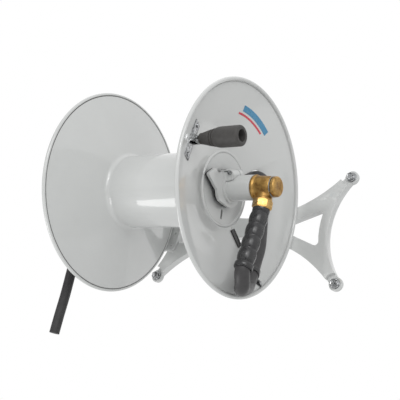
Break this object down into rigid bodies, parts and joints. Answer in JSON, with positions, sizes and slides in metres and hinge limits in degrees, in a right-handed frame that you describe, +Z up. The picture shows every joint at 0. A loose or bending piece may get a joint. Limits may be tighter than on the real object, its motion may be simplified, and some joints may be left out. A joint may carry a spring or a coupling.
{
  "type": "hose reel",
  "caption": "Wall-mounted hand-crank hose reel: dished discs on a drum, fixed hollow axle on one arm, brass swivel, looped leader hose and folding crank handle.",
  "frame": {"origin": "middle of the four wall bolts, on the wall's face", "axes": "+X along the reel's axle towards the crank, +Y into the wall, +Z up"},
  "size_m": [0.538, 0.473, 0.5363],
  "materials": {
    "paint": "glossy pale grey powder coat",
    "chrome": "bright chrome plate",
    "zinc": "zinc-plated steel",
    "brass": "cast and machined brass, lightly tarnished",
    "hose_rubber": "satin black rubber hose",
    "boot_rubber": "semi-gloss black moulded rubber",
    "grip_plastic": "matt black plastic",
    "bearing_plastic": "dark grey bearing plastic",
    "decal_film": "two-colour printed film, plain stripes"
  },
  "bodies": {
    "frame": {"base_plate": "paint", "wall_bolts": "chrome", "wall_washers": "chrome", "support_arm": "paint", "arm_screws": "zinc", "axle_set_screws": "zinc", "axle_tube": "paint", "water_pipe": "zinc", "pipe_spacers": "bearing_plastic", "inlet_elbow": "brass", "inlet_ferrule": "zinc", "inlet_hose": "hose_rubber", "rear_thrust_washer": "bearing_plastic", "brake_pad": "boot_rubber", "brake_collar": "paint", "brake_bolt": "chrome", "brake_nut": "zinc", "swivel_stem": "brass", "swivel_seals": "hose_rubber", "stem_clip": "zinc"},
    "reel": {"drum_tube": "paint", "front_disc": "paint", "rear_disc": "paint", "front_hub": "paint", "rear_hub": "paint", "front_bush": "bearing_plastic", "rear_bush": "bearing_plastic", "opening_trim": "boot_rubber", "swivel_body": "brass", "swivel_snap_ring": "zinc", "swivel_cap": "brass", "outlet_nut": "brass", "bend_restrictor": "boot_rubber", "leader_hose": "hose_rubber", "leader_coupling": "brass", "hose_clip": "boot_rubber", "clip_screw": "chrome", "decal": "decal_film", "crank_bracket": "chrome", "bracket_screws": "chrome", "pivot_pin": "chrome", "pin_clip": "chrome"},
    "handle": {"handle_knuckle": "chrome", "handle_spindle": "zinc", "handle_washer": "zinc"},
    "grip": {"handle_grip": "grip_plastic"}
  },
  "joints": [
    {"name": "drum_spin", "type": "hinge", "parent": "frame", "child": "reel", "pos_m": [0, -0.245, 0], "axis": [1, 0, 0], "continuous": true},
    {"name": "handle_fold", "type": "hinge", "parent": "reel", "child": "handle", "pos_m": [0.1285, -0.417, 0.024], "axis": [0, 1, 0], "range_deg": [0, 76]},
    {"name": "grip_spin", "type": "hinge", "parent": "handle", "child": "grip", "pos_m": [0.1285, -0.417, 0.024], "axis": [1, 0, 0], "continuous": true}
  ]
}
